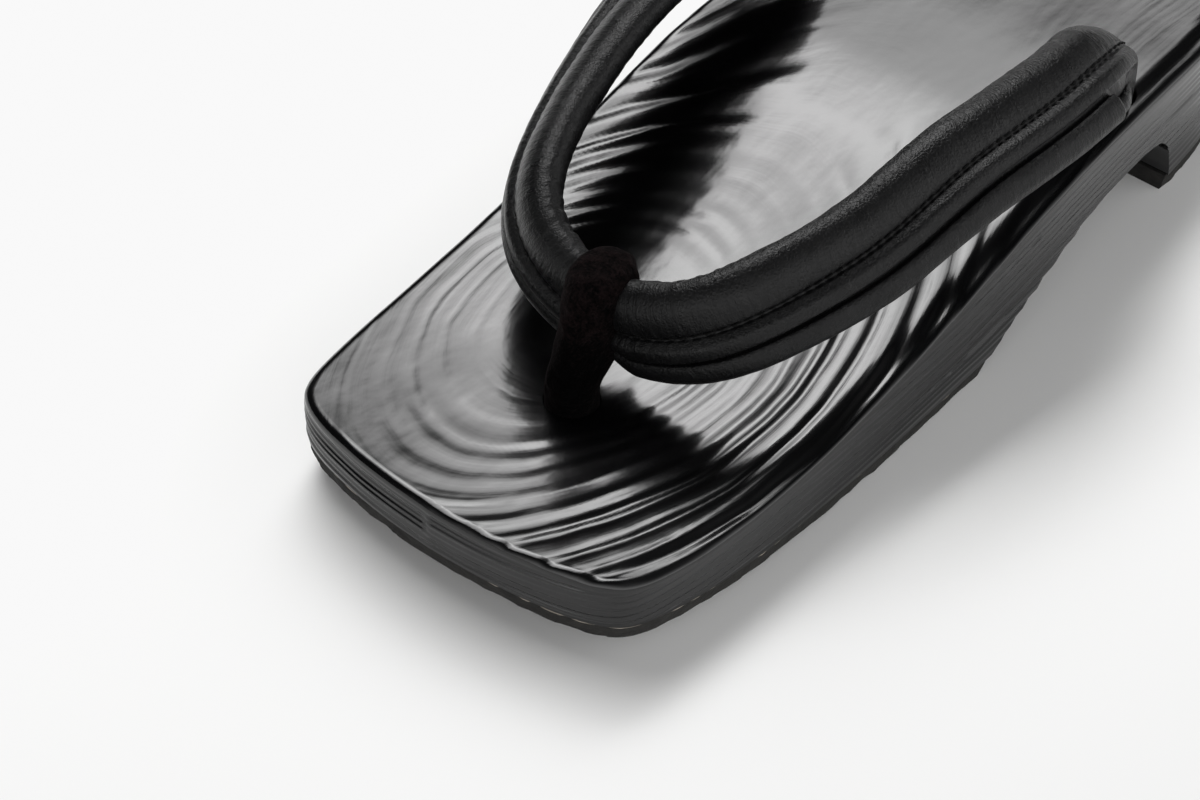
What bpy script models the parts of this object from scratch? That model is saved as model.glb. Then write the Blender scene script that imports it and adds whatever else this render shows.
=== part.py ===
"""Low carved geta: a wood block with an arch under the instep, rubber sheets, padded straps, velvet thong."""
import math

import bmesh
import bpy
import numpy as np

# Frame: toe towards -Y, heel towards +Y, floor at z = 0. The block and its straps mirror across x = 0.
# Lengths are in millimetres, turned into metres in make_object. Distances along the block start at the toe.
GAP = 0.3

LENGTH = 256.0
WIDTH = 105.0
BLOCK_HEIGHT = 36.7
EDGE_RADIUS = 2.2
EDGE_STEPS = 4
TOE_Y = -LENGTH / 2

# Rubber sheets: their thickness, their ends, how far the toe springs up, and the flat spot ahead of the arch.
RUBBER = 3.4
RUBBER_INSET = 0.2
RUBBER_FRONT_SLANT = 3.4
RUBBER_HEEL_SLANT = 1.4
RUBBER_HEEL_PROUD = 2.0
RUBBER_TIP_HALF_WIDTH = 2.0
RUBBER_LEAST_LENGTH = 1.0
TOE_SPRING = 8.5
FLAT_SPOT = 17.2
BLOCK_BASE = RUBBER + GAP

# The arch under the instep, open on both sides and to the floor.
ARCH_START = 125.6
ARCH_LENGTH = 81.3
ARCH_HEIGHT = 20.0
ARCH_END = ARCH_START + ARCH_LENGTH
FLAT_FROM = ARCH_START - FLAT_SPOT

# The thong: a round stem in a blind hole, opening into a loop round the straps.
THONG_FROM_TOE = 46.3
THONG_RADIUS = 6.0
THONG_DEPTH = 11.8
THONG_TO_STRAPS = 10.8
THONG_RISE = 8.4
LOOP_WALL = 3.6
LOOP_CLEARANCE = 0.35
LOOP_HALF_WIDTH = 6.8
THONG_HOLE_RADIUS = THONG_RADIUS + GAP
THONG_SIDES = 32

# The straps: size of the section, and the holes that their ends go down.
STRAP_HEIGHT = 24.0
STRAP_THICKNESS = 9.6
STRAP_LIFT = 28.0
STRAP_END_RADIUS = 5.2
STRAP_HOLE_RADIUS = STRAP_END_RADIUS + 3 * GAP
STRAP_HOLE_IN = 9.4
STRAP_HOLE_AHEAD = 18.3
STRAP_HOLE_FROM_TOE = ARCH_END - STRAP_HOLE_AHEAD
STRAP_PLUG_TOP = 3.5
STRAP_PLUG_SHORT = 4.0
STRAP_END_Z = ARCH_HEIGHT + STRAP_PLUG_SHORT
STRAP_STATIONS = 44
PINCH_HEIGHT_SHARE = 0.70
PINCH_THICKNESS_SHARE = 0.86
PINCH_LENGTH_SHARE = 0.055
ROUND_START_SHARE = 0.80
ROUND_END_SHARE = 0.93

# Half of the block's outline, seen from above, from the middle of the toe to the middle of the heel.
# Columns: distance as a share of LENGTH, half width as a share of half of WIDTH.
OUTLINE = [
    (0.0, 0.0),
    (0.0014, 0.171),
    (0.005, 0.352),
    (0.011, 0.524),
    (0.018, 0.663),
    (0.0273, 0.773),
    (0.040, 0.850),
    (0.058, 0.893),
    (0.082, 0.922),
    (0.121, 0.952),
    (0.180, 0.977),
    (0.258, 0.992),
    (0.352, 0.998),
    (0.488, 1.0),
    (0.586, 0.994),
    (0.684, 0.971),
    (0.781, 0.949),
    (0.859, 0.920),
    (0.910, 0.869),
    (0.949, 0.758),
    (0.976, 0.587),
    (0.9914, 0.381),
    (0.9984, 0.181),
    (1.0, 0.0),
]

# Side view of the block's top face. Columns: share of LENGTH, share of BLOCK_HEIGHT.
TOP_PROFILE = [
    (0.0, 0.687),
    (0.059, 0.624),
    (0.117, 0.583),
    (0.180, 0.567),
    (0.258, 0.586),
    (0.332, 0.640),
    (0.414, 0.738),
    (0.492, 0.858),
    (0.570, 0.959),
    (0.648, 1.0),
    (0.727, 0.997),
    (0.863, 0.951),
    (1.0, 0.910),
]

# Side view of the arch. Columns: share of ARCH_LENGTH, share of ARCH_HEIGHT.
ARCH_PROFILE = [
    (0.0, 0.05),
    (0.037, 0.145),
    (0.074, 0.23),
    (0.135, 0.38),
    (0.202, 0.515),
    (0.271, 0.63),
    (0.349, 0.75),
    (0.435, 0.86),
    (0.522, 0.945),
    (0.608, 0.99),
    (0.718, 1.0),
    (0.817, 1.0),
    (0.873, 0.975),
    (0.923, 0.895),
    (0.957, 0.765),
    (0.978, 0.60),
    (0.990, 0.42),
    (0.9975, 0.26),
    (1.0, 0.05),
]

# Middle line of one strap between the thong and its hole. Columns: across as a share of the hole's place from
# the middle, along as a share of the way to the hole, height over the block as a share of STRAP_LIFT.
STRAP_LINE = [
    (0.517, 0.027, 0.781),
    (0.815, 0.138, 0.957),
    (1.0, 0.3125, 1.0),
    (1.095, 0.505, 0.996),
    (1.163, 0.722, 0.825),
    (1.112, 0.921, 0.625),
]
STRAP_END_SPEED_SHARE = 0.95

# Turn of the strap's section about its middle line at even shares of the line, in degrees.
STRAP_TURN = [0.0, -7.2, -22.2, -38.5, -40.9]

# The strap's section as shares of half its thickness (outward) and half its height (up): the padded
# roll on top, the seam, the welt, a groove, the lower lobe, and the side that lies on the foot.
STRAP_SECTION = [
    (0.0, 1.0),
    (0.40, 0.945),
    (0.74, 0.80),
    (0.95, 0.60),
    (1.0, 0.38),
    (0.93, 0.18),
    (0.77, 0.035),
    (0.88, -0.035),
    (1.07, -0.16),
    (1.05, -0.31),
    (0.91, -0.43),
    (0.69, -0.465),
    (0.77, -0.535),
    (0.82, -0.64),
    (0.76, -0.78),
    (0.57, -0.92),
    (0.27, -1.0),
    (-0.05, -1.01),
    (-0.37, -0.955),
    (-0.62, -0.82),
    (-0.75, -0.62),
    (-0.81, -0.38),
    (-0.87, -0.13),
    (-0.95, 0.145),
    (-1.0, 0.40),
    (-0.95, 0.62),
    (-0.75, 0.81),
    (-0.41, 0.945),
]

# The thong's outside, ring by ring upwards. Columns: height (0 the block, 1 the straps' underside,
# 2 the loop's top), front and back of the ring (0 the stem's, 1 the straps' plus the wall), half width as a
# share of LOOP_HALF_WIDTH.
THONG_RINGS = [
    (0.05, 0.0, 0.0, 0.882),
    (0.40, 0.02, 0.045, 0.868),
    (0.655, 0.06, 0.28, 0.853),
    (0.87, 0.12, 0.70, 0.853),
    (1.064, 0.21, 0.94, 0.853),
    (1.213, 0.37, 1.0, 0.868),
    (1.362, 0.55, 1.03, 0.897),
    (1.532, 0.74, 1.045, 0.941),
    (1.681, 0.92, 1.04, 0.985),
    (1.809, 1.08, 1.01, 1.0),
    (1.906, 1.27, 0.93, 0.926),
    (1.970, 1.51, 0.81, 0.735),
    (2.0, 1.79, 0.65, 0.412),
]


def clear_scene():
    """Removes every object the file opens with."""
    for item in list(bpy.data.objects):
        bpy.data.objects.remove(item, do_unlink=True)


def make_material(name, colour, roughness, coat=0.0, sheen=0.0):
    """One Principled material."""
    material = bpy.data.materials.new(name)
    material.use_nodes = True
    shader = material.node_tree.nodes["Principled BSDF"]
    shader.inputs["Base Color"].default_value = (*colour, 1.0)
    shader.inputs["Roughness"].default_value = roughness
    shader.inputs["Coat Weight"].default_value = coat
    shader.inputs["Sheen Weight"].default_value = sheen
    return material


def make_object(name, verts, faces, material=None):
    """A mesh object from points in millimetres, with its normals turned outwards."""
    mesh = bpy.data.meshes.new(name)
    mesh.from_pydata([tuple(float(c) / 1000 for c in v) for v in verts], [], faces)
    work = bmesh.new()
    work.from_mesh(mesh)
    bmesh.ops.recalc_face_normals(work, faces=work.faces)
    work.to_mesh(mesh)
    work.free()
    item = bpy.data.objects.new(name, mesh)
    if material is not None:
        mesh.materials.append(material)
    bpy.context.scene.collection.objects.link(item)
    return item


def smooth(item, degrees):
    """Smooth shading that keeps edges sharper than the angle."""
    item.data.shade_smooth()
    item.data.set_sharp_from_angle(angle=math.radians(degrees))


def subtract(item, verts, faces, name):
    """Cuts the shape given by the points out of the object."""
    cutter = make_object(name, verts, faces)
    cutter.hide_render = True
    cutter.display_type = "WIRE"
    modifier = item.modifiers.new(name, "BOOLEAN")
    modifier.operation = "DIFFERENCE"
    modifier.solver = "EXACT"
    modifier.object = cutter
    with bpy.context.temp_override(object=item, active_object=item):
        bpy.ops.object.modifier_apply(modifier=name)
    bpy.data.objects.remove(cutter, do_unlink=True)


def monotone(table, at):
    """Smooth height or width from a two-column table, without overshoot."""
    x = np.array([row[0] for row in table])
    y = np.array([row[1] for row in table])
    step = np.diff(x)
    slope = np.diff(y) / step
    tangent = np.zeros(len(x))
    tangent[0] = slope[0]
    tangent[-1] = slope[-1]
    for i in range(1, len(x) - 1):
        if slope[i - 1] * slope[i] > 0:
            w0 = 2 * step[i] + step[i - 1]
            w1 = step[i] + 2 * step[i - 1]
            tangent[i] = (w0 + w1) / (w0 / slope[i - 1] + w1 / slope[i])
    at = np.clip(np.atleast_1d(np.asarray(at, float)), x[0], x[-1])
    i = np.clip(np.searchsorted(x, at, side="right") - 1, 0, len(step) - 1)
    t = (at - x[i]) / step[i]
    blend = (2 * t**3 - 3 * t**2 + 1) * y[i] + (3 * t**2 - 2 * t**3) * y[i + 1]
    return blend + step[i] * ((t**3 - 2 * t**2 + t) * tangent[i] + (t**3 - t**2) * tangent[i + 1])


def clamped_spline(points, start, end, count):
    """Evenly spaced parameter values along a cubic spline with the end speeds given."""
    points = np.asarray(points, float)
    last = len(points) - 1
    speed = np.zeros_like(points)
    matrix = np.zeros((last + 1, last + 1))
    matrix[0, 0] = 1
    matrix[last, last] = 1
    speed[0] = np.asarray(start) / last
    speed[last] = np.asarray(end) / last
    for i in range(1, last):
        matrix[i, i - 1] = 1
        matrix[i, i] = 4
        matrix[i, i + 1] = 1
        speed[i] = 3 * (points[i + 1] - points[i - 1])
    speed = np.linalg.solve(matrix, speed)
    at = np.linspace(0, last, count)
    i = np.clip(at.astype(int), 0, last - 1)
    t = (at - i)[:, None]
    place = (2 * t**3 - 3 * t**2 + 1) * points[i] + (3 * t**2 - 2 * t**3) * points[i + 1]
    place += (t**3 - 2 * t**2 + t) * speed[i] + (t**3 - t**2) * speed[i + 1]
    rate = (6 * t**2 - 6 * t) * (points[i] - points[i + 1])
    rate += (3 * t**2 - 4 * t + 1) * speed[i] + (3 * t**2 - 2 * t) * speed[i + 1]
    return place, rate / np.linalg.norm(rate, axis=1)[:, None]


def outline_points():
    """Half outline as (distance from the toe tip, half width), dense where it turns."""
    table = np.array(OUTLINE) * [LENGTH, WIDTH / 2]
    run = np.r_[0.0, np.cumsum(np.linalg.norm(np.diff(table, axis=0), axis=1))]
    at = np.linspace(0, run[-1], 89)
    along = monotone(list(zip(run, table[:, 0])), at)
    width = np.zeros(len(at))
    rows = list(zip(run, table[:, 1]))
    peak = int(np.argmax(table[:, 1]))
    front = at <= run[peak]
    width[front] = monotone(rows[: peak + 1], at[front])
    width[~front] = monotone(rows[peak:], at[~front])
    return along, width


def top_height(along):
    """Height of the block's top face."""
    return monotone(TOP_PROFILE, np.asarray(along, float) / LENGTH) * BLOCK_HEIGHT


def half_width(along):
    """Half width of the block at one distance from the toe."""
    place, width = outline_points()
    return float(np.interp(along, place, width))


def inset(along, width, distance):
    """The half outline moved inwards by the distance."""
    full = np.concatenate([np.stack([-width[1:][::-1], along[1:][::-1]], 1), np.stack([width, along], 1)])
    ahead = np.roll(full, -1, axis=0)
    ahead[-1] = full[-1] + (full[-1] - full[-2]) * [-1, 1]
    behind = np.roll(full, 1, axis=0)
    behind[0] = full[0] + (full[0] - full[1]) * [-1, 1]
    along_edge = ahead - behind
    along_edge /= np.linalg.norm(along_edge, axis=1)[:, None]
    inward = np.stack([-along_edge[:, 1], along_edge[:, 0]], 1)
    moved = full + inward * distance
    half = moved[len(width) - 1:]
    half[0, 0] = 0.0
    half[-1, 0] = 0.0
    return half[:, 1], np.maximum(half[:, 0], 0.0)


def sole_height(along):
    """Height of the rubber's underside: flat on the floor, springing up towards the toe."""
    lift = np.clip((FLAT_FROM - np.asarray(along, float)) / FLAT_FROM, 0, None)
    return TOE_SPRING * lift**2


def block(rows):
    """Closed solid from rows of half outlines stacked upwards: each row is (along, width, height)."""
    count = len(rows[0][0])
    around = 2 * count - 2
    verts = []
    for along, width, height in rows:
        for i in range(count):
            verts.append((width[i], TOE_Y + along[i], height[i]))
        for i in range(count - 2, 0, -1):
            verts.append((-width[i], TOE_Y + along[i], height[i]))
    faces = []
    for r in range(len(rows) - 1):
        for i in range(around):
            j = (i + 1) % around
            faces.append((r * around + i, r * around + j, (r + 1) * around + j, (r + 1) * around + i))
    for r in (0, len(rows) - 1):
        base = r * around
        faces.append((base, base + 1, base + around - 1))
        for i in range(1, count - 2):
            faces.append((base + i, base + i + 1, base + around - i - 1, base + around - i))
        faces.append((base + count - 2, base + count - 1, base + count))
    return verts, faces


def prism(profile, reach):
    """A side view drawn out across the whole width."""
    count = len(profile)
    verts = [(-reach, TOE_Y + along, height) for along, height in profile]
    verts += [(reach, TOE_Y + along, height) for along, height in profile]
    faces = [tuple(range(count)), tuple(range(2 * count - 1, count - 1, -1))]
    for i in range(count):
        j = (i + 1) % count
        faces.append((i, j, count + j, count + i))
    return verts, faces


def cylinder(x, y, radius, low, high, sides=40):
    """An upright round bar."""
    verts = []
    for height in (low, high):
        for i in range(sides):
            angle = 2 * math.pi * i / sides
            verts.append((x + radius * math.cos(angle), y + radius * math.sin(angle), height))
    faces = [tuple(range(sides)), tuple(range(2 * sides - 1, sides - 1, -1))]
    for i in range(sides):
        j = (i + 1) % sides
        faces.append((i, j, sides + j, sides + i))
    return verts, faces


def build_deck(material):
    """The wood block with its rounded rim, arch, thong hole and strap holes."""
    along, width = outline_points()
    rows = [(along, width, sole_height(along) + BLOCK_BASE)]
    rows.append((along, width, top_height(along) - EDGE_RADIUS))
    for step in range(1, EDGE_STEPS + 1):
        angle = math.pi / 2 * step / EDGE_STEPS
        inner_along, inner_width = inset(along, width, EDGE_RADIUS * (1 - math.cos(angle)))
        drop = EDGE_RADIUS * (1 - math.sin(angle))
        rows.append((inner_along, inner_width, top_height(inner_along) - drop))
    deck = make_object("deck", *block(rows), material)
    arch = [(ARCH_START + place * ARCH_LENGTH, height * ARCH_HEIGHT) for place, height in ARCH_PROFILE]
    below = -BLOCK_HEIGHT
    subtract(deck, *prism([(arch[0][0], below)] + arch + [(arch[-1][0], below)], WIDTH), "arch")
    over = 2 * BLOCK_HEIGHT
    thong_y = TOE_Y + THONG_FROM_TOE
    subtract(deck, *cylinder(0.0, thong_y, THONG_HOLE_RADIUS, thong_hole_floor(), over), "thong_hole")
    strap_y = TOE_Y + STRAP_HOLE_FROM_TOE
    for side, name in ((1, "hole_right"), (-1, "hole_left")):
        hole = cylinder(side * strap_hole_across(), strap_y, STRAP_HOLE_RADIUS, ARCH_HEIGHT / 2, over)
        subtract(deck, *hole, name)
    smooth(deck, 32)
    return deck


def thong_hole_floor():
    """Height of the bottom of the thong's blind hole."""
    return float(top_height(THONG_FROM_TOE)[0]) - THONG_DEPTH


def strap_hole_across():
    """How far each strap hole is from the block's middle."""
    return half_width(STRAP_HOLE_FROM_TOE) - STRAP_HOLE_IN


def strap_middle():
    """Points of one strap's middle line: under the thong, over the foot, and down in its hole."""
    across = strap_hole_across()
    start = THONG_FROM_TOE + THONG_TO_STRAPS
    run = STRAP_HOLE_FROM_TOE - start
    base = float(top_height(start)[0])
    points = [(0.0, TOE_Y + start, base + THONG_RISE + PINCH_HEIGHT_SHARE * STRAP_HEIGHT / 2)]
    for x, along, lift in STRAP_LINE:
        place = start + along * run
        points.append((x * across, TOE_Y + place, float(top_height(place)[0]) + lift * STRAP_LIFT))
    hole_top = float(top_height(STRAP_HOLE_FROM_TOE)[0])
    points.append((across, TOE_Y + STRAP_HOLE_FROM_TOE, hole_top - STRAP_PLUG_TOP))
    return points


def build_sole(name, start, end, start_slant, end_slant, material):
    """A rubber sheet under the block from one distance to the other, its cut ends leaning by the slants."""
    edge_along, edge_width = inset(*outline_points(), RUBBER_INSET)
    inside = edge_width > RUBBER_TIP_HALF_WIDTH
    cuts = []
    if start > 0:
        inside &= edge_along > start + RUBBER_LEAST_LENGTH
        cuts.append(start)
    if end < LENGTH:
        inside &= edge_along < end - RUBBER_LEAST_LENGTH
        cuts.append(end)
    if start < FLAT_FROM < end:
        cuts.append(FLAT_FROM)
    along = np.sort(np.concatenate([edge_along[inside], cuts]))
    width = np.interp(along, edge_along, edge_width)
    low = sole_height(along)
    high_along = np.maximum(along, along[0] + start_slant)
    high_along[-1] += end_slant
    verts = []
    for a, ha, w, z in zip(along, high_along, width, low):
        for side in (-1, 1):
            verts.append((side * w, TOE_Y + a, z))
            verts.append((side * w, TOE_Y + ha, z + RUBBER))
    faces = []
    for i in range(len(along) - 1):
        a, b = 4 * i, 4 * i + 4
        faces.append((a, a + 2, b + 2, b))
        faces.append((a + 1, b + 1, b + 3, a + 3))
        faces.append((a, b, b + 1, a + 1))
        faces.append((a + 2, a + 3, b + 3, b + 2))
    b = 4 * (len(along) - 1)
    faces.append((0, 1, 3, 2))
    faces.append((b, b + 2, b + 3, b + 1))
    sole = make_object(name, verts, faces, material)
    smooth(sole, 32)
    return sole


def strap_frames():
    """Stations of one strap: middle point, direction, outward and upward directions, share of the line."""
    line = np.array(strap_middle())
    speed = STRAP_END_SPEED_SHARE * np.linalg.norm(np.diff(line, axis=0), axis=1).sum()
    place, ahead = clamped_spline(line, (speed, 0, 0), (0, 0, -speed), STRAP_STATIONS)
    share = np.linspace(0, 1, STRAP_STATIONS)
    knots = np.linspace(0, 1, len(STRAP_TURN))
    turn = np.radians(natural_spline(knots, STRAP_TURN, share))
    outward = np.zeros_like(ahead)
    carried = np.array([0.0, -1.0, 0.0])
    for k in range(STRAP_STATIONS):
        carried = carried - (carried @ ahead[k]) * ahead[k]
        carried = carried / np.linalg.norm(carried)
        outward[k] = carried
    upward = np.cross(outward, ahead)
    cos, sin = np.cos(turn)[:, None], np.sin(turn)[:, None]
    return place, ahead, cos * outward - sin * upward, cos * upward + sin * outward, share


def natural_spline(x, y, at):
    """Cubic spline through a few values, its ends free."""
    x, y = np.asarray(x, float), np.asarray(y, float)
    count = len(x)
    step = np.diff(x)
    matrix = np.eye(count)
    right = np.zeros(count)
    for i in range(1, count - 1):
        matrix[i, i - 1] = step[i - 1]
        matrix[i, i] = 2 * (step[i - 1] + step[i])
        matrix[i, i + 1] = step[i]
        right[i] = 6 * ((y[i + 1] - y[i]) / step[i] - (y[i] - y[i - 1]) / step[i - 1])
    bend = np.linalg.solve(matrix, right)
    i = np.clip(np.searchsorted(x, at, side="right") - 1, 0, count - 2)
    a = (x[i + 1] - at) / step[i]
    b = (at - x[i]) / step[i]
    value = a * y[i] + b * y[i + 1]
    return value + ((a**3 - a) * bend[i] + (b**3 - b) * bend[i + 1]) * step[i] ** 2 / 6


def ease(value):
    """0 to 1 without a kink."""
    value = np.clip(value, 0.0, 1.0)
    return value * value * (3 - 2 * value)


def strap_loops(grow=0.0):
    """The section's points at every station of one strap, grown outwards by the distance."""
    place, ahead, outward, upward, share = strap_frames()
    section = np.array(STRAP_SECTION) * [STRAP_THICKNESS / 2, STRAP_HEIGHT / 2]
    around = np.linspace(0, 2 * math.pi, len(section), endpoint=False)
    circle = STRAP_END_RADIUS * np.stack([np.sin(around), np.cos(around)], 1)
    loops = []
    for k in range(STRAP_STATIONS):
        pinch = ease(share[k] / PINCH_LENGTH_SHARE)
        squeeze = np.array([
            PINCH_THICKNESS_SHARE + (1 - PINCH_THICKNESS_SHARE) * pinch,
            PINCH_HEIGHT_SHARE + (1 - PINCH_HEIGHT_SHARE) * pinch,
        ])
        rounding = ease((share[k] - ROUND_START_SHARE) / (ROUND_END_SHARE - ROUND_START_SHARE))
        flat = (1 - rounding) * section * squeeze + rounding * circle
        if grow:
            flat = grow_loop(flat, grow)
        loops.append(place[k] + flat[:, :1] * outward[k] + flat[:, 1:] * upward[k])
    return loops


def grow_loop(points, distance):
    """A closed clockwise loop moved outwards by the distance."""
    edge = np.roll(points, -1, axis=0) - np.roll(points, 1, axis=0)
    edge /= np.linalg.norm(edge, axis=1)[:, None]
    return points + distance * np.stack([-edge[:, 1], edge[:, 0]], 1)


def skin(loops):
    """Closed solid from rings of the same number of points."""
    count = len(loops[0])
    verts = [tuple(p) for loop in loops for p in loop]
    faces = []
    for r in range(len(loops) - 1):
        for i in range(count):
            j = (i + 1) % count
            faces.append((r * count + i, r * count + j, (r + 1) * count + j, (r + 1) * count + i))
    for r in (0, len(loops) - 1):
        verts.append(tuple(np.mean(loops[r], axis=0)))
        centre = len(verts) - 1
        for i in range(count):
            faces.append((centre, r * count + i, r * count + (i + 1) % count))
    return verts, faces


def build_straps(material):
    """Both straps as one solid, joined under the thong, their ends straight down in the holes."""
    right = strap_loops()
    tail = right[-1].copy()
    tail[:, 2] = STRAP_END_Z
    right.append(tail)
    left = [loop * [-1, 1, 1] for loop in right[1:]]
    straps = make_object("straps", *skin(left[::-1] + right), material)
    smooth(straps, 40)
    return straps


def build_thong(material):
    """The front thong: a stem in the block that opens into a loop round the straps."""
    block_top = float(top_height(THONG_FROM_TOE)[0])
    straps = strap_middle()[0]
    straps_under = straps[2] - PINCH_HEIGHT_SHARE * STRAP_HEIGHT / 2
    loop_top = straps[2] + STRAP_HEIGHT / 2 + LOOP_WALL - GAP
    stem = TOE_Y + THONG_FROM_TOE
    reach = STRAP_THICKNESS / 2 + LOOP_WALL
    end = thong_hole_floor() + GAP
    rings = [
        (end, stem - 0.9 * THONG_RADIUS, stem + 0.9 * THONG_RADIUS, 0.9 * THONG_RADIUS),
        (end + 0.1 * THONG_RADIUS, stem - THONG_RADIUS, stem + THONG_RADIUS, THONG_RADIUS),
    ]
    for level, front, back, across in THONG_RINGS:
        height = block_top + min(level, 1.0) * (straps_under - block_top)
        height += max(level - 1.0, 0.0) * (loop_top - straps_under)
        low = stem - THONG_RADIUS + front * (straps[1] - reach - stem + THONG_RADIUS)
        high = stem + THONG_RADIUS + back * (straps[1] + reach - stem - THONG_RADIUS)
        rings.append((height, low, high, across * LOOP_HALF_WIDTH))
    loops = []
    for height, low, high, across in rings:
        ring = []
        for i in range(THONG_SIDES):
            angle = 2 * math.pi * i / THONG_SIDES
            y = (low + high) / 2 + (high - low) / 2 * math.sin(angle)
            ring.append((across * math.cos(angle), y, height))
        loops.append(np.array(ring))
    thong = make_object("front_thong", *skin(loops), material)
    right = strap_loops(LOOP_CLEARANCE)[: STRAP_STATIONS // 3]
    left = [loop * [-1, 1, 1] for loop in right[1:]]
    subtract(thong, *skin(left[::-1] + right), "strap_passage")
    smooth(thong, 50)
    return thong


def main():
    clear_scene()
    wood = make_material("lacquered_wood", (0.012, 0.012, 0.013), 0.12, coat=1.0)
    rubber = make_material("sole_rubber", (0.035, 0.032, 0.028), 0.85)
    leather = make_material("strap_leather", (0.016, 0.016, 0.017), 0.42)
    velvet = make_material("thong_velvet", (0.02, 0.015, 0.015), 0.95, sheen=0.3)
    build_sole("sole_front", 0.0, ARCH_START - GAP, 0.0, RUBBER_FRONT_SLANT, rubber)
    build_sole("sole_heel", ARCH_END - RUBBER_HEEL_PROUD, LENGTH, RUBBER_HEEL_SLANT, 0.0, rubber)
    build_deck(wood)
    build_straps(leather)
    build_thong(velvet)


main()
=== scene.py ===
"""Looks of the geta: lacquered block with raised rings, padded straps, velvet thong and rubber sheets."""
import math

import bpy
import numpy as np
from mathutils import Matrix, Vector


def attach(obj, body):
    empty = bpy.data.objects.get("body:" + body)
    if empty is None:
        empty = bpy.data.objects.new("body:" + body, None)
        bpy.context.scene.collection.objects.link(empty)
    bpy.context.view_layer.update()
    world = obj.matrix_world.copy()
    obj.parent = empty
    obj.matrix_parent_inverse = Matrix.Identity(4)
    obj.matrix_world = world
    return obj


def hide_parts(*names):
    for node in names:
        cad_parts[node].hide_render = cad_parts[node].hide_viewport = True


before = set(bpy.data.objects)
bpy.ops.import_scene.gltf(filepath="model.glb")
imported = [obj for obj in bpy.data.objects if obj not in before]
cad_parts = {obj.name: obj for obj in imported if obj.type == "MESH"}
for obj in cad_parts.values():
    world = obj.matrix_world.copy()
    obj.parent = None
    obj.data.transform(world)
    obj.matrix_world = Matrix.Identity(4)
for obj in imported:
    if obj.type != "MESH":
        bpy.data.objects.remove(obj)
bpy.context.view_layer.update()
MM = 0.001

# Sizes of the block and straps in millimetres, in the CAD's frame: toe at y = -128, floor at z = 0.
LENGTH = 256.0
WIDTH = 105.0
BLOCK_HEIGHT = 36.7
EDGE_RADIUS = 2.2
RUBBER = 3.4
GAP = 0.3
TOE_SPRING = 8.5
ARCH_START = 125.6
ARCH_LENGTH = 81.3
ARCH_HEIGHT = 20.0
ARCH_END = ARCH_START + ARCH_LENGTH
FLAT_FROM = ARCH_START - 17.2
TOE_Y = -LENGTH / 2
STRAP_HEIGHT = 24.0
STRAP_THICKNESS = 9.6
STRAP_END_RADIUS = 5.2
THONG_Y = -81.7
STRAP_HOLE = (41.0, 60.6)

# Carving and wear of the block, in millimetres, and the rows and columns of its mesh.
GROOVE_PITCH = 1.9
GROOVE_DEPTH = 0.23
WORN_DEPTH = 0.80
WORN_WIDTH = 5.6
DECK_ROWS = 304
DECK_COLUMNS = 190
WALL_ROWS = 56
RIM_ROWS = 6

# Holes in the block and the reach of what cuts them and the arch.
THONG_HOLE_RADIUS = 6.3
THONG_HOLE_BOTTOM = 9.0
STRAP_HOLE_RADIUS = 6.1
STRAP_HOLE_BOTTOM = 10.0
CUTTER_TOP = 60.0
CUTTER_REACH = 70.0
CUTTER_BELOW = -9.0

# Rubber sheets: their inset from the block's outline, the levels of their edge as shares of its height, and
# how far from the sandal's middle the ends of a sheet and of its glue begin.
SHEET_INSET = 0.35
SHEET_LEVELS = [0.0, 0.05, 0.2, 0.45, 0.7, 0.92, 1.0]
SHEET_ENDS = 120
GLUE_ENDS = 118
# Columns: name, y of its start and end, slant of its start and of its end, seed of its ragged edge.
SHEETS = [
    ("sole_front", TOE_Y, TOE_Y + ARCH_START - GAP, 0.0, 3.4, 41),
    ("sole_heel", TOE_Y + ARCH_END - 2.0, -TOE_Y, 1.4, 0.0, 47),
]

# Straps. Places round the rim count the points of STRAP_SECTION, and a share is one of a strap's length.
THREAD_AT = 5.62
SEAM_AT = 6.0
LOWER_GROOVE_AT = 11.0
LOBE_END = 0.775
LOBE_DEPTH = 5.0
STRAP_GIRTH = 62.0
PLUG_BOTTOM = 24.0
STITCH_PITCH = 2.6
STITCH_LENGTH = 1.9
FIRST_STITCH = 7.5
LAST_STITCH = 0.885
STITCH_RINGS = 7
STITCH_SIDES = 8

# The photograph's camera, solved from the block's edges: degrees, metres, pixels, sensor in millimetres.
CAMERA_TURN, CAMERA_RISE, CAMERA_ROLL = 40.079, 45.073, -0.288
CAMERA_DISTANCE = 0.71726
CAMERA_AIM = (0.00444, -0.0776, 0.0200)
FOCAL_PIXELS = 3341.4
PHOTO_WIDTH = 1200.0
SENSOR_WIDTH = 36.0

# Light: what it is aimed at, in metres, and its sizes and powers.
LIT_MIDDLE = (0.0, -0.02, 0.03)
SOFTBOX_SIZE = (1.30, 1.10)
SOFTBOX_POWER = 57.0
WORLD_POWER = 2.3

# The block's outline. Columns: share of the length from the toe, share of the half width.
OUTLINE = [
    (0.0, 0.0), (0.0014, 0.171), (0.005, 0.352), (0.011, 0.524), (0.018, 0.663), (0.0273, 0.773),
    (0.040, 0.850), (0.058, 0.893), (0.082, 0.922), (0.121, 0.952), (0.180, 0.977), (0.258, 0.992),
    (0.352, 0.998), (0.488, 1.0), (0.586, 0.994), (0.684, 0.971), (0.781, 0.949), (0.859, 0.920),
    (0.910, 0.869), (0.949, 0.758), (0.976, 0.587), (0.9914, 0.381), (0.9984, 0.181), (1.0, 0.0),
]
# The top face seen from the side. Columns: share of the length, share of the block's height.
TOP_PROFILE = [
    (0.0, 0.687), (0.059, 0.624), (0.117, 0.583), (0.180, 0.567), (0.258, 0.586), (0.332, 0.640),
    (0.414, 0.738), (0.492, 0.858), (0.570, 0.959), (0.648, 1.0), (0.727, 0.997), (0.863, 0.951),
    (1.0, 0.910),
]
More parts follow.
